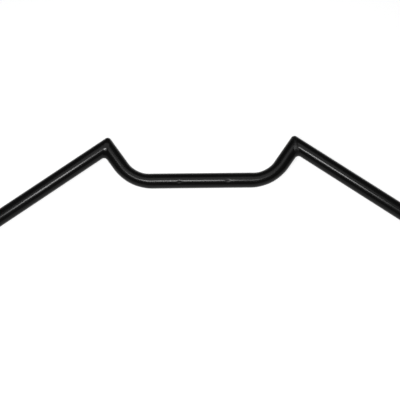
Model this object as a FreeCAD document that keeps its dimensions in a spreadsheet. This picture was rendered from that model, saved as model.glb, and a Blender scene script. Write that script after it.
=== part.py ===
"""Clubman handlebar: a bent centre tube with a straight handle tube welded to each riser at a mitre.

Frame: origin on the tube's axis at the middle of the clamp section, +X along the clamp section,
+Y forward, +Z up. The risers climb towards the front and the handles fall back to the height of the
clamp section, so the bar lies on its clamp section and its open ends. Lengths are in millimetres,
angles in degrees.
"""
import FreeCAD, Part
import math
import os
import Sketcher
from FreeCAD import Placement, Rotation, Vector

SIZES = {
    "tube_diameter": 22.2,    # outside of the tube
    "tube_wall": 2.0,
    "clamp_length": 149.0,    # straight run between the two bends
    "bend_radius": 54.0,      # of the tube's axis
    "bend_angle": 54.5,       # turn from the clamp section into a riser
    "riser_length": 35.5,     # straight run from the bend to the corner
    "horn_rise": 22.2,        # slope of the risers' plane, up towards the front
    "handle_sweep": 34.6,     # handles turned back from the clamp section's direction
    "handle_fall": 4.65,      # slope of the handles, down to their open ends
    "handle_length": 240.0,   # from the corner to the open end
    "handle_land": 2.0,       # full round tube between the bead and the seat for the grip
    "end_break": 0.5,         # chamfer on the rims of the open end
    "weld_width": 7.0,        # across the bead
    "weld_crown": 0.5,        # height of the bead above the sides of the tubes
    "weld_dressing": 2.2,     # ground off the sharp outer tip of the mitre
    "weld_fill": 2.0,         # bead standing in the inner angle of the mitre
    "dimple_diameter": 6.5,   # the two locating dimples of the clamp section
    "dimple_depth": 0.4,
    "left_dimple_place": 32.4,    # from the middle of the clamp section
    "left_dimple_lean": 11.0,     # towards the rider, from square to the risers' plane
    "right_dimple_place": 38.8,
    "right_dimple_lean": 4.0,
}

BEAD_STEPS = 2   # flats on each flank of the bead's crown

doc = FreeCAD.newDocument("clubman_handlebar")
sheet = doc.addObject("Spreadsheet::Sheet", "Sizes")
for row, (name, value) in enumerate(SIZES.items(), start=1):
    sheet.set(f"A{row}", name)
    sheet.set(f"B{row}", str(value))
    sheet.setAlias(f"B{row}", name)
doc.recompute()


def size(name):
    """A driving size, read back from the sheet."""
    return float(sheet.get(name))


def direction(turn):
    """A level unit vector, turned about +Z from +X."""
    return Vector(math.cos(math.radians(turn)), math.sin(math.radians(turn)), 0)


# Places that follow from the driving sizes.
outer_radius = size("tube_diameter") / 2
inner_radius = outer_radius - size("tube_wall")
overrun = size("tube_diameter") * 2   # spare length that a mitre cut takes off again

horn_plane = Placement(Vector(), Rotation(Vector(1, 0, 0), size("horn_rise")))
bend_end = (
    Vector(size("clamp_length") / 2, size("bend_radius"), 0)
    + direction(size("bend_angle") - 90) * size("bend_radius")
)
corner = horn_plane.multVec(bend_end + direction(size("bend_angle")) * size("riser_length"))
riser_way = horn_plane.Rotation.multVec(direction(size("bend_angle")))
fall = math.radians(size("handle_fall"))
handle_way = direction(-size("handle_sweep")) * math.cos(fall) - Vector(0, 0, math.sin(fall))

# The mitre's own frame: z runs on through the cut, x points at the sharp outer tip.
mitre_half = riser_way.getAngle(handle_way) / 2
mitre_through = (riser_way + handle_way).normalize()
mitre_tip = (riser_way - handle_way).normalize()
mitre_side = mitre_through.cross(mitre_tip)
mitre_place = Placement(corner, Rotation(mitre_tip, mitre_side, mitre_through, "ZXY"))
mitre_stretch = 1 / math.cos(mitre_half)   # of a tube's round section where the saw cuts it
bead_half = size("weld_width") / 2
bead_shift = -bead_half * math.tan(mitre_half)   # where a tube's axis meets an edge of the bead

# The seat for grip and controls starts past the inner angle of the mitre; x still points at the tip.
seat_start = bead_half * mitre_stretch + outer_radius * math.tan(mitre_half) + size("handle_land")
seat_across = mitre_side.cross(handle_way)
seat_place = Placement(
    corner + handle_way * seat_start, Rotation(seat_across, mitre_side, handle_way, "ZXY"))


def make_body(label, place=Placement()):
    body = doc.addObject("PartDesign::Body", label)
    body.Label = label
    body.Placement = place
    return body


def make_sketch(body, name, plane, offset=Placement()):
    """A sketch on one of the body's own origin planes."""
    sketch = body.newObject("Sketcher::SketchObject", name)
    support = [item for item in body.Origin.OriginFeatures if item.Role == plane][0]
    sketch.AttachmentSupport = [(support, "")]
    sketch.MapMode = "FlatFace"
    sketch.AttachmentOffset = offset
    return sketch


def bind(sketch, constraint, name, expression):
    """Add a sketch constraint whose value follows the sheet."""
    index = sketch.addConstraint(constraint)
    sketch.renameConstraint(index, name)
    sketch.setExpression(f"Constraints.{name}", expression)


def draw_circle(sketch, name, radius, expression):
    """A circle about the sketch's origin."""
    index = sketch.addGeometry(Part.Circle(Vector(), Vector(0, 0, 1), radius), False)
    sketch.addConstraint(Sketcher.Constraint("Coincident", index, 3, -1, 1))
    bind(sketch, Sketcher.Constraint("Radius", index, radius), name, expression)


def draw_tube_section(sketch):
    draw_circle(sketch, "outside", outer_radius, "Sizes.tube_diameter / 2")
    draw_circle(sketch, "inside", inner_radius, "Sizes.tube_diameter / 2 - Sizes.tube_wall")


def cut_mitre(body):
    """Saw the riser off at the near edge of the weld bead."""
    before = body.Shape.Volume
    cut_place = mitre_place * Placement(Vector(0, 0, -bead_half), Rotation())
    saw = make_sketch(body, "riser_mitre_reach", "XY_Plane", body.Placement.inverse() * cut_place)
    draw_circle(saw, "reach", overrun, "Sizes.tube_diameter * 2")
    cut = body.newObject("PartDesign::Pocket", "riser_mitre")
    cut.Profile = saw
    cut.Type = "Length"
    cut.setExpression("Length", "Sizes.tube_diameter * 4")
    cut.Reversed = True
    doc.recompute()
    if not 0 < body.Shape.Volume < before:
        raise RuntimeError("the mitre took nothing off the riser")
    return cut


def punch_dimple(body, label, side):
    """A mark left by a ball that draws a circle of the dimple's width on the tube."""
    before = body.Shape.Volume
    depth = size("dimple_depth")
    ball_radius = ((size("dimple_diameter") / 2) ** 2 + depth ** 2) / (2 * depth)
    lean = Rotation(Vector(1, 0, 0), size(f"{label}_dimple_lean"))
    ball_lift = lean.multVec(Vector(0, 0, outer_radius - depth + ball_radius))
    punch = body.newObject("PartDesign::SubtractiveSphere", f"{label}_locating_dimple")
    punch.setExpression(
        "Radius",
        "((Sizes.dimple_diameter / 2)^2 + Sizes.dimple_depth^2) / (2 * Sizes.dimple_depth)",
    )
    punch.Placement = Placement(Vector(side * size(f"{label}_dimple_place"), 0, 0) + ball_lift, Rotation())
    doc.recompute()
    if not 0 < body.Shape.Volume < before:
        raise RuntimeError(f"the {label} dimple took nothing off the tube")
    return punch


def make_centre_tube():
    """The right half is swept along the tube's axis, then mirrored."""
    body = make_body("centre_tube", horn_plane)
    path = make_sketch(body, "centre_line", "XY_Plane")
    bend_start = Vector(size("clamp_length") / 2, 0, 0)
    bend_centre = bend_start + Vector(0, size("bend_radius"), 0)
    riser_end = bend_end + direction(size("bend_angle")) * (size("riser_length") + overrun)
    full_turn = math.radians(size("bend_angle"))
    bend_circle = Part.Circle(bend_centre, Vector(0, 0, 1), size("bend_radius"))
    run = path.addGeometry(Part.LineSegment(Vector(), bend_start), False)
    bend = path.addGeometry(Part.ArcOfCircle(bend_circle, -math.pi / 2, full_turn - math.pi / 2), False)
    riser = path.addGeometry(Part.LineSegment(bend_end, riser_end), False)
    path.addConstraint(Sketcher.Constraint("Coincident", run, 1, -1, 1))
    path.addConstraint(Sketcher.Constraint("Horizontal", run))
    path.addConstraint(Sketcher.Constraint("Tangent", run, 2, bend, 1))
    path.addConstraint(Sketcher.Constraint("Tangent", bend, 2, riser, 1))
    bind(path, Sketcher.Constraint("DistanceX", run, 1, run, 2, bend_start.x),
         "clamp_half", "Sizes.clamp_length / 2")
    bind(path, Sketcher.Constraint("Radius", bend, size("bend_radius")),
         "bend_round", "Sizes.bend_radius")
    bind(path, Sketcher.Constraint("Angle", run, 1, riser, 1, full_turn),
         "bend_turn", "Sizes.bend_angle")
    bind(path, Sketcher.Constraint("Distance", riser, size("riser_length") + overrun),
         "riser_run", "Sizes.riser_length + Sizes.tube_diameter * 2")

    section = make_sketch(body, "centre_section", "YZ_Plane")
    draw_tube_section(section)
    sweep = body.newObject("PartDesign::AdditivePipe", "bent_half")
    sweep.Profile = section
    sweep.Spine = path
    doc.recompute()
    mitre = cut_mitre(body)

    mirror = body.newObject("PartDesign::Mirrored", "left_half")
    mirror.Originals = [sweep, mitre]
    plane = [item for item in body.Origin.OriginFeatures if item.Role == "YZ_Plane"][0]
    mirror.MirrorPlane = (plane, [""])
    body.Tip = mirror
    doc.recompute()
    punch_dimple(body, "left", -1)
    body.Tip = punch_dimple(body, "right", 1)
    return body


def make_handle_tube():
    """The right handle: a round run to the open end, on a foot that widens to the mitre's ellipse."""
    body = make_body("right_handle_tube")
    seat = make_sketch(body, "seat_section", "XY_Plane", seat_place)
    draw_tube_section(seat)
    run = body.newObject("PartDesign::Pad", "handle_run")
    run.Profile = seat
    run.Length = size("handle_length") - seat_start
    doc.recompute()

    cut_place = mitre_place * Placement(Vector(bead_shift, 0, bead_half), Rotation())
    cut_face = make_sketch(body, "handle_mitre", "XY_Plane", cut_place)
    for radius in (outer_radius, inner_radius):
        major_point = Vector(radius * mitre_stretch, 0, 0)
        ellipse = cut_face.addGeometry(Part.Ellipse(major_point, Vector(0, radius, 0), Vector()), False)
        cut_face.addConstraint(Sketcher.Constraint("Block", ellipse))
    foot = body.newObject("PartDesign::AdditiveLoft", "handle_foot")
    foot.Profile = cut_face
    foot.Sections = [seat]
    foot.Ruled = True
    doc.recompute()

    end_centre = corner + handle_way * size("handle_length")
    near = size("end_break") / 10
    rims = [
        f"Edge{index}" for index, edge in enumerate(foot.Shape.Edges, start=1)
        if all(abs((point.Point - end_centre).dot(handle_way)) < near for point in edge.Vertexes)
    ]
    rim_break = body.newObject("PartDesign::Chamfer", "end_rims")
    rim_break.Base = (foot, rims)
    rim_break.setExpression("Size", "Sizes.end_break")
    body.Tip = rim_break
    return body


def make_ruled_loft(name, rings):
    """A solid through ellipses across the mitre; a ring is (along, centre, major radius, minor radius)."""
    sections = []
    for index, (along, centre, major, minor) in enumerate(rings, start=1):
        ellipse = doc.addObject("Part::Ellipse", f"{name}_ring_{index}")
        ellipse.MajorRadius = major
        ellipse.MinorRadius = minor
        ellipse.Placement = mitre_place * Placement(Vector(centre, 0, along), Rotation())
        sections.append(ellipse)
    loft = doc.addObject("Part::Loft", name)
    loft.Sections = sections
    loft.Solid = True
    loft.Ruled = True
    return loft


def make_corner_weld():
    """The right bead: from one sawn tube end to the other, crowned outside and open inside."""
    crest_centre = -(size("weld_dressing") + size("weld_fill")) / 2
    crest_growth = (size("weld_fill") - size("weld_dressing")) / 2
    outside_rings = []
    for step in range(-BEAD_STEPS, BEAD_STEPS + 1):
        place = step / BEAD_STEPS
        crown = 1 - place ** 2   # nothing at the edges of the bead, full at its crest
        outside_rings.append((
            place * bead_half,
            bead_shift + crown * (crest_centre - bead_shift),
            outer_radius * mitre_stretch + crown * crest_growth,
            outer_radius + crown * size("weld_crown"),
        ))
    inside_rings = [
        (place * bead_half, abs(place) * bead_shift, inner_radius * mitre_stretch, inner_radius)
        for place in (-1, 0, 1)
    ]
    bead = doc.addObject("Part::Cut", "right_corner_weld")
    bead.Label = "right_corner_weld"
    bead.Base = make_ruled_loft("weld_outside", outside_rings)
    bead.Tool = make_ruled_loft("weld_inside", inside_rings)
    return bead


def mirror_to_left(source, label):
    left = doc.addObject("Part::Mirroring", label)
    left.Label = label
    left.Source = source
    left.Base = Vector()
    left.Normal = Vector(1, 0, 0)
    return left


centre_tube = make_centre_tube()
right_handle_tube = make_handle_tube()
right_corner_weld = make_corner_weld()
sub_parts = [
    centre_tube,
    right_handle_tube,
    mirror_to_left(right_handle_tube, "left_handle_tube"),
    right_corner_weld,
    mirror_to_left(right_corner_weld, "left_corner_weld"),
]
doc.recompute()

for item in doc.Objects:
    if "Invalid" in item.State or "Error" in item.State:
        raise RuntimeError(f"{item.Label} did not build: {item.State}")
for item in sub_parts:
    shape = item.Shape
    if shape.isNull() or not shape.isValid() or len(shape.Solids) != 1:
        raise RuntimeError(f"{item.Label} is not one valid solid")

os.makedirs("parts", exist_ok=True)
for item in sub_parts:
    item.Shape.exportStep(f"parts/{item.Label}.step")
    box = item.Shape.BoundBox
    print(f"{item.Label}: volume {item.Shape.Volume:.1f}, x {box.XMin:.2f} to {box.XMax:.2f}, "
          f"y {box.YMin:.2f} to {box.YMax:.2f}, z {box.ZMin:.2f} to {box.ZMax:.2f}")
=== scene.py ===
"""Clubman handlebar: a bent centre tube, two handle tubes and two weld beads in black paint.

Everything is in metres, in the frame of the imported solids: origin on the tube's axis in the middle of
the clamp section, +X along it, +Y forward, +Z up. The bar lies on its clamp section and open ends.
"""

import math

import bpy
from mathutils import Matrix, Vector


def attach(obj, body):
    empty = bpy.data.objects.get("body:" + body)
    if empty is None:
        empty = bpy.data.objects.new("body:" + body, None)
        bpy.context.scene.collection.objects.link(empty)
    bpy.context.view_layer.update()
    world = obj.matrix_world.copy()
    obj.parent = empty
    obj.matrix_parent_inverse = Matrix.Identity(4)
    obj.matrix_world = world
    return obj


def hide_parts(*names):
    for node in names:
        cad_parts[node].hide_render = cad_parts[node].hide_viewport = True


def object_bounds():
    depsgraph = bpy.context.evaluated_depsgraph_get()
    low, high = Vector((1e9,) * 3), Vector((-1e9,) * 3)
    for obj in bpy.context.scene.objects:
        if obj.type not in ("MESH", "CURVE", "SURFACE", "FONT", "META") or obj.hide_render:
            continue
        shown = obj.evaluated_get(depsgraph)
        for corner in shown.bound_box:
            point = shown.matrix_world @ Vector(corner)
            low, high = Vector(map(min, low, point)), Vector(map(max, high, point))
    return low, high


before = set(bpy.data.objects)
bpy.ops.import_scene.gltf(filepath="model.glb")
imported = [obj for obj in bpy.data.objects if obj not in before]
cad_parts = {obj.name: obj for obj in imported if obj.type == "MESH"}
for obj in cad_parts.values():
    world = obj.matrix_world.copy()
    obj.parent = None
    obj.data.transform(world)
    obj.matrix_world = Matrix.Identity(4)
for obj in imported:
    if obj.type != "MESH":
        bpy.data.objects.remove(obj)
cad_low, cad_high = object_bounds()

MM = 0.001
FULL_TURN = 2 * math.pi
UPRIGHT = Vector((0, 0, 1))
SIDES = (("left", -1), ("right", 1))

# The bar's own sizes, as in the solids.
TUBE_RADIUS = 11.1 * MM
BORE_RADIUS = 9.1 * MM
CLAMP_HALF = 74.5 * MM
BEND_RADIUS = 54.0 * MM
BEND_ANGLE = math.radians(54.5)
RISER_LENGTH = 35.5 * MM
HORN_RISE = math.radians(22.2)      # how the plane of the bends and risers climbs to the front
HANDLE_SWEEP = math.radians(34.6)   # back from the line of the clamp section
HANDLE_FALL = math.radians(4.65)
HANDLE_LENGTH = 240.0 * MM
BEAD_HALF = 3.5 * MM
BEAD_CROWN = 0.5 * MM
BEAD_DRESSING = 2.2 * MM            # ground off the sharp outer tip of the mitre
BEAD_FILL = 2.0 * MM                # stands in the inner angle of the mitre
DIMPLE_RADIUS = 3.25 * MM
DIMPLE_DEPTH = 0.4 * MM

# What the bender, the punch, the welder and the file leave behind.
END_ROUND = 0.86 * MM        # lips of the open ends; stays inside the solid's 0.5 mm chamfer
BEND_FLATTENING = 0.045      # share of the tube's width that a bend takes off in its own plane
BEND_BULGE = 0.02            # and adds across it
BEND_EASE = (-0.06, 0.3)     # shares of the bend's length between which the squeeze comes in
DIMPLE_FALL = 2.7            # how fast a dimple's depth falls off towards its rim
DIMPLE_STRETCH = 1.5         # a dimple's length along the tube over its width
DIMPLE_SPOTS = (             # station, place round the tube, depth
    (-32.4 * MM, math.radians(90 + 11), DIMPLE_DEPTH),
    (38.8 * MM, math.radians(90 + 2), DIMPLE_DEPTH),
)
RIPPLE_COUNT = 46.0
RIPPLE_HEIGHT = 0.12 * MM
RIPPLE_BOW = 0.9             # ripples by which a bead's edges lag behind its crest
RIPPLE_STRAY = 1.6           # how far the pools stray from an even beat
RIPPLE_SINK = 1.3            # sets the ripples down into the crown
RIPPLE_EASE = (-0.1, 0.5)    # shares of the crown between which the ripples come in
STRAY_NOISE = (2.2, 1.0)     # scale, detail
LUMP_NOISE = (9.0, 2.0)
BEAD_SEED = 3.7
FILED_SHARE = {"left": 1.2, "right": 0.0}   # of crown and ripples on the upper side; over 1 is hollow
FILED_LEAN = 0.12 * MM       # how far the filed side drops from its middle to the handle
FILED_EASE = (0.2, 0.9)      # sines of the angle up the bead between which the filing sets in
DIMPLE_DULLING = 0.28        # roughness that the paint gains at the bottom of a dimple
BEAD_DULLING = 0.21          # and over ripples that keep their height

# How finely the meshes follow the shapes.
AROUND_TUBE = 128
AROUND_BEAD = 368            # eight steps to a ripple
CREST_STEPS = 24             # across the outside of a bead
THROAT_STEPS = 8             # across its inside
LIP_STEPS = 8                # round each half of an open end's lip
STRAIGHT_STEP = 4 * MM
DIMPLE_STEP = 0.4 * MM
DIMPLE_MARGIN = 4.5 * MM
BEND_STEP = 1.2 * MM
BEND_MARGIN = 6 * MM
RISER_STEP = 2 * MM
HANDLE_STEP = 3 * MM
BORE_STEP = 3 * MM
SAW_MARGIN = 2 * MM          # from the saw's nearest cut to the last full round
SEAM_GAP = MM / 200          # points closer than this are joined
CRISP_EDGE = math.radians(35)    # sharper edges are shaded crisp
ROUNDING_GUARD = 0.5 / 4096      # lifts whole numbers clear of rounding before they are floored

# Black paint outside, bare steel down the bores.
PAINT_INDEX = 1.22
TUBE_ROUGHNESS = 0.24
WELD_ROUGHNESS = 0.18
PEEL_STRENGTH = 0.2
PEEL_HEIGHT = 0.03 * MM
CLOUD_NOISE = (35.0, 3.0)        # scale, detail
GRAIN_NOISE = (420.0, 2.0)
SPECK_NOISE = (900.0, 1.0)
RUST_NOISE = (120.0, 4.0, 0.7)   # and roughness
SPECK_EASE = (0.72, 0.80)
RUST_EASE = (0.5, 0.75)
BARE_EASE = (6 * MM, 14 * MM)    # depths in the bore between which the paint gives out
BARE_STRAY = 12 * MM             # how far that line strays
DEEP_INSIDE = 1.0                # a depth for the beads, which no paint reaches inside
COAT_DARK = (0.0020, 0.0020, 0.0021, 1)
COAT_PALE = (0.0036, 0.0035, 0.0034, 1)
SPECK_GREY = (0.03, 0.03, 0.03, 1)
SPECK_SHARE = 0.35
STEEL_GREY = (0.16, 0.15, 0.14, 1)
RUST_BROWN = (0.10, 0.055, 0.03, 1)
CLOUD_ROUGHNESS = 0.06           # swings of the paint's roughness
GRAIN_ROUGHNESS = 0.04
SPECK_ROUGHNESS = 0.08
STEEL_ROUGHNESS = 0.42
RUST_ROUGHNESS = 0.3             # added where the steel is rusty
RUST_COVER = 0.7                 # share of the bare metal that rust hides
CLOUD_HEIGHT = 0.6               # heights in the bump, over the grain's
RUST_HEIGHT = 1.5

# The studio: a softbox beside the camera, a large dim panel overhead, an even grey room, a pale floor.
SOFTBOX_SIZE = (0.25, 0.1)
SOFTBOX_POWER = 8.0
SOFTBOX_NEARNESS = 0.9           # its distance over the camera's
SOFTBOX_ASIDE = Vector((-0.05, 0, 0))
PANEL_SIZE = (1.2, 1.2)
PANEL_POWER = 9.5
PANEL_PLACE = Vector((0, 0.23, 1.82))
ROOM_GREY = (0.1, 0.1, 0.1, 1)
FLOOR_REACH = 20.0
FLOOR_RIM = 0.8                  # hides the room beyond it in low views
FLOOR_GAP = 0.02 * MM
FLOOR_NOISE = (3.0, 2.0)         # scale, detail
FLOOR_DARK = (0.34, 0.34, 0.34, 1)
FLOOR_PALE = (0.36, 0.36, 0.36, 1)
FLOOR_GLOW = 0.74                # with the lamps' light it shows white

# The photograph's view: from above on the rider's side, a little turned about the line of sight.
VIEW_DISTANCE = 1.08
VIEW_HEIGHT = math.radians(66.262)
VIEW_DOWN = math.radians(1.517)  # aims below the clamp section
VIEW_ASIDE = math.radians(0.128)
VIEW_ROLL = math.radians(0.588)
FOCUS_PIXELS = 732.2
PHOTO_PIXELS = 400
SENSOR_WIDTH = 36.0
CLIP_START = 0.01
CLIP_END = 200.0

NUMBER = "NodeSocketFloat"
VECTOR = "NodeSocketVector"

# Directions and places that follow from the sizes.
horn_turn = Matrix.Rotation(HORN_RISE, 3, "X")
level_riser_way = Vector((math.cos(BEND_ANGLE), math.sin(BEND_ANGLE), 0))
riser_way = horn_turn @ level_riser_way
handle_way = Vector((
    math.cos(HANDLE_SWEEP) * math.cos(HANDLE_FALL),
    -math.sin(HANDLE_SWEEP) * math.cos(HANDLE_FALL),
    -math.sin(HANDLE_FALL),
))
corner_station = CLAMP_HALF + BEND_RADIUS * BEND_ANGLE + RISER_LENGTH
corner = horn_turn @ Vector((
    CLAMP_HALF + BEND_RADIUS * math.sin(BEND_ANGLE) + RISER_LENGTH * math.cos(BEND_ANGLE),
    BEND_RADIUS * (1 - math.cos(BEND_ANGLE)) + RISER_LENGTH * math.sin(BEND_ANGLE),
    0,
))
mitre_half = riser_way.angle(handle_way) / 2
mitre_through = (riser_way + handle_way).normalized()
mitre_tip = (riser_way - handle_way).normalized()
mitre_stretch = 1 / math.cos(mitre_half)
saw_back = BEAD_HALF * mitre_stretch
bead_shift = -BEAD_HALF * math.tan(mitre_half)


class Term:
    """One output of a node; sums and products of terms and numbers add the Math nodes they need."""

    def __init__(self, bench, socket):
        self.bench = bench
        self.socket = socket

    def __add__(self, other):
        return self.bench.math("ADD", self, other)

    def __radd__(self, other):
        return self.bench.math("ADD", other, self)

    def __sub__(self, other):
        return self.bench.math("SUBTRACT", self, other)

    def __rsub__(self, other):
        return self.bench.math("SUBTRACT", other, self)

    def __mul__(self, other):
        return self.bench.math("MULTIPLY", self, other)

    def __rmul__(self, other):
        return self.bench.math("MULTIPLY", other, self)

    def __truediv__(self, other):
        return self.bench.math("DIVIDE", self, other)

    def __rtruediv__(self, other):
        return self.bench.math("DIVIDE", other, self)

    def __pow__(self, other):
        return self.bench.math("POWER", self, other)


class Bench:
    """A node tree in the making."""

    def __init__(self, tree):
        self.tree = tree
        tree.nodes.clear()

    def node(self, kind, settings=None, **sockets):
        """Add a node: its settings first, then the values or links of its sockets; gives its outputs."""
        made = self.tree.nodes.new(kind)
        for name, value in (settings or {}).items():
            setattr(made, name, value)
        for name, value in sockets.items():
            self.feed(self.pick(made.inputs, name), value)
        return lambda name: Term(self, self.pick(made.outputs, name))

    @staticmethod
    def pick(sockets, name):
        """A socket by its name in lower case with underscores, or by i and its number."""
        if name[0] == "i" and name[1:].isdigit():
            return sockets[int(name[1:])]
        return next(s for s in sockets if s.enabled and s.name.lower().replace(" ", "_") == name)

    def feed(self, socket, value):
        if isinstance(value, Term):
            self.tree.links.new(value.socket, socket)
        else:
            socket.default_value = value

    def math(self, operation, *terms):
        sockets = {f"i{place}": term for place, term in enumerate(terms)}
        return self.node("ShaderNodeMath", {"operation": operation}, **sockets)("value")

    def step(self, value, low, high):
        """A smooth step from 0 at low to 1 at high."""
        return self.node("ShaderNodeMapRange", {"interpolation_type": "SMOOTHSTEP"},
                         value=value, from_min=low, from_max=high)("result")

    def noise(self, where, scale, detail, roughness=0.5):
        return self.node("ShaderNodeTexNoise", vector=where, scale=scale, detail=detail,
                         roughness=roughness)("fac")

    def mix(self, share, first, second):
        return self.node("ShaderNodeMix", {"data_type": "RGBA"}, factor=share, a=first, b=second)("result")

    def mark(self, name):
        """A number that a jig stored on the piece's points."""
        return self.node("ShaderNodeAttribute", {"attribute_name": name})("fac")


class Jig(Bench):
    """A Geometry Nodes tree that turns the points of a wall's section into a closed piece."""

    def __init__(self, name, inputs):
        super().__init__(bpy.data.node_groups.new(name, "GeometryNodeTree"))
        face = self.tree.interface
        face.new_socket("Section", in_out="INPUT", socket_type="NodeSocketGeometry")
        face.new_socket("Paint", in_out="INPUT", socket_type="NodeSocketMaterial")
        face.new_socket("Around", in_out="INPUT", socket_type="NodeSocketInt")
        for label, kind in inputs:
            face.new_socket(label, in_out="INPUT", socket_type=kind)
        face.new_socket("Piece", in_out="OUTPUT", socket_type="NodeSocketGeometry")
        self.given = self.node("NodeGroupInput")

        # A grid with one column for each point of the section and one row for each step round the tube.
        points = self.node("GeometryNodeAttributeDomainSize", geometry=self.given("section"))("point_count")
        rows = self.given("around") + 1
        self.sheet = self.node("GeometryNodeMeshGrid", vertices_x=points + 1, vertices_y=rows)("mesh")
        index = self.node("GeometryNodeInputIndex")("index")
        column = self.math("FLOOR", index / rows + ROUNDING_GUARD)
        self.turn = (index - column * rows) / self.given("around") * FULL_TURN
        spot = self.node("GeometryNodeInputPosition")("position")
        sampled = self.node(
            "GeometryNodeSampleIndex", {"data_type": "FLOAT_VECTOR"}, geometry=self.given("section"),
            value=spot, index=self.math("FLOORED_MODULO", column, points))("value")
        self.section = self.node("ShaderNodeSeparateXYZ", vector=sampled)

    def close(self, x, y, z, marks):
        """Put the grid's points at x, y, z, join its seams, and hand the piece out with its marks."""
        spot = self.node("ShaderNodeCombineXYZ", x=x, y=y, z=z)("vector")
        piece = self.node("GeometryNodeSetPosition", geometry=self.sheet, position=spot)("geometry")
        for name, value in marks.items():
            piece = self.node("GeometryNodeStoreNamedAttribute", {"data_type": "FLOAT", "domain": "POINT"},
                              geometry=piece, name=name, value=value)("geometry")
        piece = self.node("GeometryNodeMergeByDistance", geometry=piece, distance=SEAM_GAP)("geometry")
        piece = self.node("GeometryNodeTransform", geometry=piece, rotation=self.given("turn"),
                          translation=self.given("place"))("geometry")
        piece = self.node("GeometryNodeSetShadeSmooth", geometry=piece)("geometry")
        angle = self.node("GeometryNodeInputMeshEdgeAngle")("unsigned_angle")
        crisp = self.math("GREATER_THAN", angle, CRISP_EDGE)
        piece = self.node("GeometryNodeSetShadeSmooth", {"domain": "EDGE"}, geometry=piece,
                          selection=crisp, shade_smooth=False)("geometry")
        piece = self.node("GeometryNodeRealizeInstances", geometry=piece)("geometry")
        piece = self.node("GeometryNodeSetMaterial", geometry=piece, material=self.given("paint"))("geometry")
        self.node("NodeGroupOutput", piece=piece)

    def make(self, name, section, **values):
        """Run the tree on a section's points and keep the result as a plain mesh."""
        points = bpy.data.meshes.new(name)
        points.from_pydata(section, [], [])
        piece = bpy.data.objects.new(name, points)
        maker = piece.modifiers.new("maker", "NODES")
        maker.node_group = self.tree
        for item in self.tree.interface.items_tree:
            label = item.name.lower().replace(" ", "_")
            if label in values:
                maker[item.identifier] = values[label]
        bpy.context.scene.collection.objects.link(piece)
        scene_now = bpy.context.evaluated_depsgraph_get()
        mesh = bpy.data.meshes.new_from_object(
            piece.evaluated_get(scene_now), preserve_all_data_layers=True, depsgraph=scene_now)
        piece.modifiers.remove(maker)
        piece.data = mesh
        mesh.name = name
        return piece


def on_side(vector, side):
    """A direction or place of the right half, or its mirror image for the left one."""
    return Vector((side * vector.x, vector.y, vector.z))


def spread(first, last, step):
    """Even stations from first up to, and without, last."""
    count = max(1, round(abs(last - first) / step))
    return [first + (last - first) * place / count for place in range(count)]


def make_tube_jig():
    """Bends a straight tube to both sides of its middle, dimples it and saws its ends to the mitre.

    A section's point is (station along the tube, radius, 1 inside the bore and 0 outside).
    """
    jig = Jig("bent and sawn tube", (
        ("Straight half", NUMBER), ("Bend radius", NUMBER), ("Bend angle", NUMBER),
        ("Flattening", NUMBER), ("Bulge", NUMBER), ("Sawn at", NUMBER), ("Saw back", NUMBER),
        ("Saw lean across", NUMBER), ("Saw lean up", NUMBER), ("Last full round", NUMBER),
        ("Dimple radius", NUMBER), ("First dimple", VECTOR), ("Second dimple", VECTOR),
        ("Turn", VECTOR), ("Place", VECTOR),
    ))
    given = jig.given
    station = jig.section("x")
    radius = jig.section("y")
    bore = jig.section("z")
    run = jig.math("ABSOLUTE", station)
    side = jig.math("SIGN", station)

    # Two punched dimples on the outside of the tube, with soft rims.
    hollow = 0
    for mark in ("first_dimple", "second_dimple"):
        spot = jig.node("ShaderNodeSeparateXYZ", vector=given(mark))
        along = (station - spot("x")) / DIMPLE_STRETCH
        around = (jig.turn - spot("y")) * radius
        away = (along * along + around * around) / given("dimple_radius") ** 2
        hollow = hollow + jig.math("EXPONENT", away * -DIMPLE_FALL) * spot("z")
    radius = radius - hollow * (1 - bore)

    # The bend squeezes the tube in its own plane.
    bend_length = given("bend_radius") * given("bend_angle")
    bend_share = (run - given("straight_half")) / bend_length
    squeeze = jig.step(bend_share, *BEND_EASE) * jig.step(1 - bend_share, *BEND_EASE)
    across = radius * jig.math("COSINE", jig.turn) * (1 - squeeze * given("flattening"))
    up = radius * jig.math("SINE", jig.turn) * (1 + squeeze * given("bulge"))

    # Past the last full round, the stations close up on the plane of the saw.
    saw_end = (given("sawn_at") - given("saw_back")
               - across * given("saw_lean_across") - up * given("saw_lean_up"))
    last = given("last_full_round")
    past_last = jig.math("MAXIMUM", run - last, 0)
    run = jig.math("MINIMUM", run, last) + past_last * (saw_end - last) / (given("sawn_at") - last)

    straight = jig.math("MINIMUM", run, given("straight_half"))
    bent = jig.math("MINIMUM", run - straight, bend_length)
    riser = run - straight - bent
    turned = bent / given("bend_radius")
    sine = jig.math("SINE", turned)
    cosine = jig.math("COSINE", turned)
    jig.close(
        x=side * (straight + given("bend_radius") * sine + riser * cosine - across * sine),
        y=given("bend_radius") * (1 - cosine) + riser * sine + across * cosine,
        z=up,
        marks={"bore": bore, "from_end": run, "dulling": hollow / DIMPLE_DEPTH * DIMPLE_DULLING},
    )
    return jig


def saw_lean(way, next_way, across, up):
    """How the saw's plane leans over the tube's section, for a tube that runs on in another direction."""
    half = way.angle(next_way) / 2
    lean = (next_way - way * next_way.dot(way)).normalized() * math.tan(half)
    return {"saw_lean_across": lean.dot(across), "saw_lean_up": lean.dot(up)}


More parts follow.
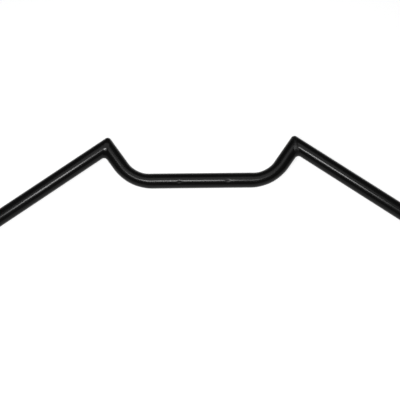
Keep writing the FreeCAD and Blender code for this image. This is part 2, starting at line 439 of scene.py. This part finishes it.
def centre_section():
    """The wall of the centre tube, sawn end to sawn end: finer in the bends and at the dimples."""
    marked = sorted(abs(station) for station, _, _ in DIMPLE_SPOTS)
    stops = [
        (0, STRAIGHT_STEP),
        (marked[0] - DIMPLE_MARGIN, DIMPLE_STEP),
        (marked[1] + DIMPLE_MARGIN, STRAIGHT_STEP),
        (CLAMP_HALF - BEND_MARGIN, BEND_STEP),
        (corner_station - RISER_LENGTH + BEND_MARGIN, RISER_STEP),
        (corner_station, 0),
    ]
    half = []
    for (first, step), (last, _) in zip(stops, stops[1:]):
        half += spread(first, last, step)
    half.append(corner_station)
    outside = half[:0:-1] + [-station for station in half]
    inside = spread(-corner_station, corner_station, BORE_STEP) + [corner_station]
    return [(s, TUBE_RADIUS, 0) for s in outside] + [(s, BORE_RADIUS, 1) for s in inside]


def handle_section():
    """The wall of a handle, from the sawn end to the open end and back along the bore."""
    outside = [HANDLE_LENGTH - s for s in spread(0, HANDLE_LENGTH - END_ROUND, HANDLE_STEP)]
    inside = spread(END_ROUND, HANDLE_LENGTH, BORE_STEP)[1:] + [HANDLE_LENGTH]
    swings = [math.pi / 2 * step / LIP_STEPS for step in range(LIP_STEPS + 1)]
    lip = [(END_ROUND * (1 - math.sin(swing)), TUBE_RADIUS - END_ROUND * (1 - math.cos(swing)), 0)
           for swing in swings]
    lip += [(END_ROUND * (1 - math.cos(swing)), BORE_RADIUS + END_ROUND * (1 - math.sin(swing)), 0)
            for swing in swings]
    return [(s, TUBE_RADIUS, 0) for s in outside] + lip + [(s, BORE_RADIUS, 1) for s in inside]


def make_tubes(paint):
    jig = make_tube_jig()
    last_round = saw_back + TUBE_RADIUS * math.tan(mitre_half) + SAW_MARGIN
    common = {
        "paint": paint, "around": AROUND_TUBE, "bend_radius": BEND_RADIUS, "bend_angle": BEND_ANGLE,
        "flattening": BEND_FLATTENING, "bulge": BEND_BULGE, "saw_back": saw_back,
        "dimple_radius": DIMPLE_RADIUS,
    }
    lean = saw_lean(level_riser_way, horn_turn.inverted() @ handle_way,
                    UPRIGHT.cross(level_riser_way), UPRIGHT)
    tubes = [jig.make(
        "centre_tube_painted", centre_section(), straight_half=CLAMP_HALF, sawn_at=corner_station,
        last_full_round=corner_station - last_round,
        first_dimple=DIMPLE_SPOTS[0], second_dimple=DIMPLE_SPOTS[1],
        turn=(HORN_RISE, 0, 0), place=(0, 0, 0), **lean, **common)]

    # A handle starts at its open end and runs in, without a bend or a dimple, to the corner.
    for label, side in SIDES:
        outward = on_side(handle_way, side)
        end = on_side(corner, side) + outward * HANDLE_LENGTH
        across = UPRIGHT.cross(-outward).normalized()
        up = across.cross(outward)
        axes = Matrix((-outward, across, up)).transposed()
        lean = saw_lean(-outward, -on_side(riser_way, side), across, up)
        tubes.append(jig.make(
            f"{label}_handle_tube_painted", handle_section(), straight_half=2 * HANDLE_LENGTH,
            sawn_at=HANDLE_LENGTH, last_full_round=HANDLE_LENGTH - last_round,
            first_dimple=(0, 0, 0), second_dimple=(0, 0, 0),
            turn=tuple(axes.to_euler()), place=tuple(end), **lean, **common))
    return tubes


def make_bead_jig():
    """Lays a crowned, rippled bead round the mitre's ellipse.

    A section's point is (place across the bead from -1 to 1, 1 inside the bore and 0 outside, 0).
    """
    jig = Jig("rippled weld bead", (
        ("Half width", NUMBER), ("Tip shift", NUMBER), ("Stretch", NUMBER), ("Crown", NUMBER),
        ("Dressing", NUMBER), ("Fill", NUMBER), ("Tube radius", NUMBER), ("Bore radius", NUMBER),
        ("Ripples", NUMBER), ("Ripple height", NUMBER), ("Ripple bow", NUMBER), ("Seed", NUMBER),
        ("Filed share", NUMBER), ("Filed lean", NUMBER), ("Upper side", NUMBER),
        ("Turn", VECTOR), ("Place", VECTOR),
    ))
    given = jig.given
    across = jig.section("x")
    bore = jig.section("y")
    outside = 1 - bore
    crown = 1 - across * across
    cosine = jig.math("COSINE", jig.turn)
    sine = jig.math("SINE", jig.turn)

    # The file takes crown and ripples off the upper side and leans towards the handle.
    filed = jig.step(sine * given("upper_side"), *FILED_EASE) * given("filed_share")
    left_on = 1 - filed
    drop = across * filed * given("filed_lean") * outside

    # Each ripple is the front of a frozen pool, bowed back towards the bead's edges, no two alike.
    ring = jig.node("ShaderNodeCombineXYZ", x=cosine, y=sine, z=given("seed"))("vector")
    stray = (jig.noise(ring, *STRAY_NOISE) - 0.5) * RIPPLE_STRAY
    beat = jig.turn / FULL_TURN * given("ripples") + across * across * given("ripple_bow") + stray
    pool = jig.math("ABSOLUTE", jig.math("SINE", beat * math.pi))
    lump = jig.noise(ring, *LUMP_NOISE) - 0.5
    ripple = (pool - RIPPLE_SINK + lump) * given("ripple_height") * jig.step(crown, *RIPPLE_EASE)
    ripple = ripple * left_on * outside

    crest_centre = (given("dressing") + given("fill")) * -0.5
    crest_growth = (given("fill") - given("dressing")) * 0.5
    edge = jig.math("ABSOLUTE", across)
    outer_centre = given("tip_shift") + crown * (crest_centre - given("tip_shift"))
    centre = outer_centre * outside + edge * given("tip_shift") * bore
    radius = given("tube_radius") * outside + given("bore_radius") * bore
    rise = crown * outside
    dulling = jig.math("MAXIMUM", left_on, 0) * BEAD_DULLING
    jig.close(
        x=centre + (radius * given("stretch") + rise * crest_growth + ripple) * cosine,
        y=(radius + rise * given("crown") * left_on - drop + ripple) * sine,
        z=across * given("half_width"),
        marks={"bore": bore, "from_end": DEEP_INSIDE, "dulling": dulling},
    )
    return jig


def make_beads(paint):
    jig = make_bead_jig()
    section = [(1 - 2 * place / CREST_STEPS, 0, 0) for place in range(CREST_STEPS + 1)]
    section += [(2 * place / THROAT_STEPS - 1, 1, 0) for place in range(THROAT_STEPS + 1)]
    beads = []
    for label, side in SIDES:
        through = on_side(mitre_through, side)
        tip = on_side(mitre_tip, side)
        axes = Matrix((tip, through.cross(tip), through)).transposed()
        beads.append(jig.make(
            f"{label}_corner_weld_painted", section, paint=paint, around=AROUND_BEAD,
            half_width=BEAD_HALF, tip_shift=bead_shift, stretch=mitre_stretch, crown=BEAD_CROWN,
            dressing=BEAD_DRESSING, fill=BEAD_FILL, tube_radius=TUBE_RADIUS, bore_radius=BORE_RADIUS,
            ripples=RIPPLE_COUNT, ripple_height=RIPPLE_HEIGHT, ripple_bow=RIPPLE_BOW,
            seed=BEAD_SEED + side, filed_share=FILED_SHARE[label], filed_lean=FILED_LEAN,
            upper_side=float(side), turn=tuple(axes.to_euler()), place=tuple(on_side(corner, side))))
    return beads


def new_surface(name):
    material = bpy.data.materials.new(name)
    material.use_nodes = True
    return material, Bench(material.node_tree)


def make_black_paint(name, roughness):
    """Black paint with a little orange peel outside, fading to dull bare steel down the bore."""
    material, bench = new_surface(name)
    where = bench.node("ShaderNodeTexCoord")("object")
    cloud = bench.noise(where, *CLOUD_NOISE)
    cloud_swing = cloud - 0.5
    grain = bench.noise(where, *GRAIN_NOISE)
    specks = bench.step(bench.noise(where, *SPECK_NOISE), *SPECK_EASE)
    bare = bench.mark("bore") * bench.step(bench.mark("from_end") + cloud_swing * BARE_STRAY, *BARE_EASE)
    rust = bench.step(bench.noise(where, *RUST_NOISE), *RUST_EASE)

    coat = bench.mix(cloud, COAT_DARK, COAT_PALE)
    coat = bench.mix(specks * SPECK_SHARE, coat, SPECK_GREY)
    steel = bench.mix(rust, STEEL_GREY, RUST_BROWN)
    colour = bench.mix(bare, coat, steel)
    gloss = (roughness + cloud_swing * CLOUD_ROUGHNESS + (grain - 0.5) * GRAIN_ROUGHNESS
             + specks * SPECK_ROUGHNESS + bench.mark("dulling"))
    rough = gloss * (1 - bare) + (STEEL_ROUGHNESS + rust * RUST_ROUGHNESS) * bare

    height = grain + cloud_swing * CLOUD_HEIGHT + bare * rust * RUST_HEIGHT
    bump = bench.node("ShaderNodeBump", strength=PEEL_STRENGTH, distance=PEEL_HEIGHT,
                      height=height)("normal")
    shader = bench.node("ShaderNodeBsdfPrincipled", base_color=colour, roughness=rough,
                        metallic=bare * (1 - rust * RUST_COVER), ior=PAINT_INDEX, normal=bump)("bsdf")
    bench.node("ShaderNodeOutputMaterial", surface=shader)
    return material


def make_floor():
    """A wide pale floor under the bar's lowest points, turned up at its far edge.

    It shows white and keeps the bar's shadow.
    """
    level = cad_low.z - FLOOR_GAP
    corners = [(-FLOOR_REACH, -FLOOR_REACH), (FLOOR_REACH, -FLOOR_REACH),
               (FLOOR_REACH, FLOOR_REACH), (-FLOOR_REACH, FLOOR_REACH)]
    points = [(x, y, z) for z in (level, level + FLOOR_RIM) for x, y in corners]
    count = len(corners)
    walls = [(at, (at + 1) % count, (at + 1) % count + count, at + count) for at in range(count)]
    mesh = bpy.data.meshes.new("floor")
    mesh.from_pydata(points, [], [tuple(range(count))] + walls)
    floor = bpy.data.objects.new("floor", mesh)
    bpy.context.scene.collection.objects.link(floor)
    material, bench = new_surface("pale floor")
    where = bench.node("ShaderNodeTexCoord")("object")
    tone = bench.mix(bench.noise(where, *FLOOR_NOISE), FLOOR_DARK, FLOOR_PALE)
    ray = bench.node("ShaderNodeLightPath")
    shown = bench.math("MAXIMUM", ray("is_camera_ray"), ray("is_glossy_ray"))
    shown = bench.math("MAXIMUM", shown, ray("is_transmission_ray"))
    lit = bench.node("ShaderNodeBsdfDiffuse", color=tone)("bsdf")
    glow = bench.node("ShaderNodeEmission", strength=shown * FLOOR_GLOW)("emission")
    both = bench.node("ShaderNodeAddShader", i0=lit, i1=glow)("shader")
    bench.node("ShaderNodeOutputMaterial", surface=both)
    mesh.materials.append(material)


def make_camera():
    data = bpy.data.cameras.new("camera")
    data.sensor_width = SENSOR_WIDTH
    data.lens = FOCUS_PIXELS * SENSOR_WIDTH / PHOTO_PIXELS
    data.clip_start = CLIP_START
    data.clip_end = CLIP_END
    camera = bpy.data.objects.new("camera", data)
    turn = (Matrix.Rotation(math.pi / 2 - VIEW_HEIGHT - VIEW_DOWN, 3, "X")
            @ Matrix.Rotation(VIEW_ASIDE, 3, "Y") @ Matrix.Rotation(-VIEW_ROLL, 3, "Z"))
    place = Vector((0, -math.cos(VIEW_HEIGHT), math.sin(VIEW_HEIGHT))) * VIEW_DISTANCE
    camera.matrix_world = Matrix.LocRotScale(place, turn, None)
    bpy.context.scene.collection.objects.link(camera)
    bpy.context.scene.camera = camera
    return place


def make_lamp(name, place, size, power):
    """An area lamp that faces the middle of the clamp section and stays out of the picture."""
    lamp = bpy.data.lights.new(name, "AREA")
    lamp.shape = "RECTANGLE"
    lamp.size, lamp.size_y = size
    lamp.energy = power
    panel = bpy.data.objects.new(name, lamp)
    panel.visible_camera = False
    panel.location = place
    panel.rotation_euler = (-place).to_track_quat("-Z", "Y").to_euler()
    bpy.context.scene.collection.objects.link(panel)


def make_light(camera_place):
    make_lamp("softbox", camera_place * SOFTBOX_NEARNESS + SOFTBOX_ASIDE, SOFTBOX_SIZE, SOFTBOX_POWER)
    make_lamp("overhead panel", PANEL_PLACE, PANEL_SIZE, PANEL_POWER)
    world = bpy.data.worlds.new("room")
    world.use_nodes = True
    bench = Bench(world.node_tree)
    room = bench.node("ShaderNodeBackground", color=ROOM_GREY, strength=1.0)("background")
    bench.node("ShaderNodeOutputWorld", surface=room)
    bpy.context.scene.world = world


tube_paint = make_black_paint("black paint on tube", TUBE_ROUGHNESS)
weld_paint = make_black_paint("black paint on weld", WELD_ROUGHNESS)
for piece in make_tubes(tube_paint):
    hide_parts(piece.name.removesuffix("_painted"))
    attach(piece, "root")
for piece in make_beads(weld_paint):
    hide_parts(piece.name.removesuffix("_painted"))
    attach(piece, "root")

make_floor()
make_light(make_camera())
bpy.context.scene.view_settings.view_transform = "Standard"
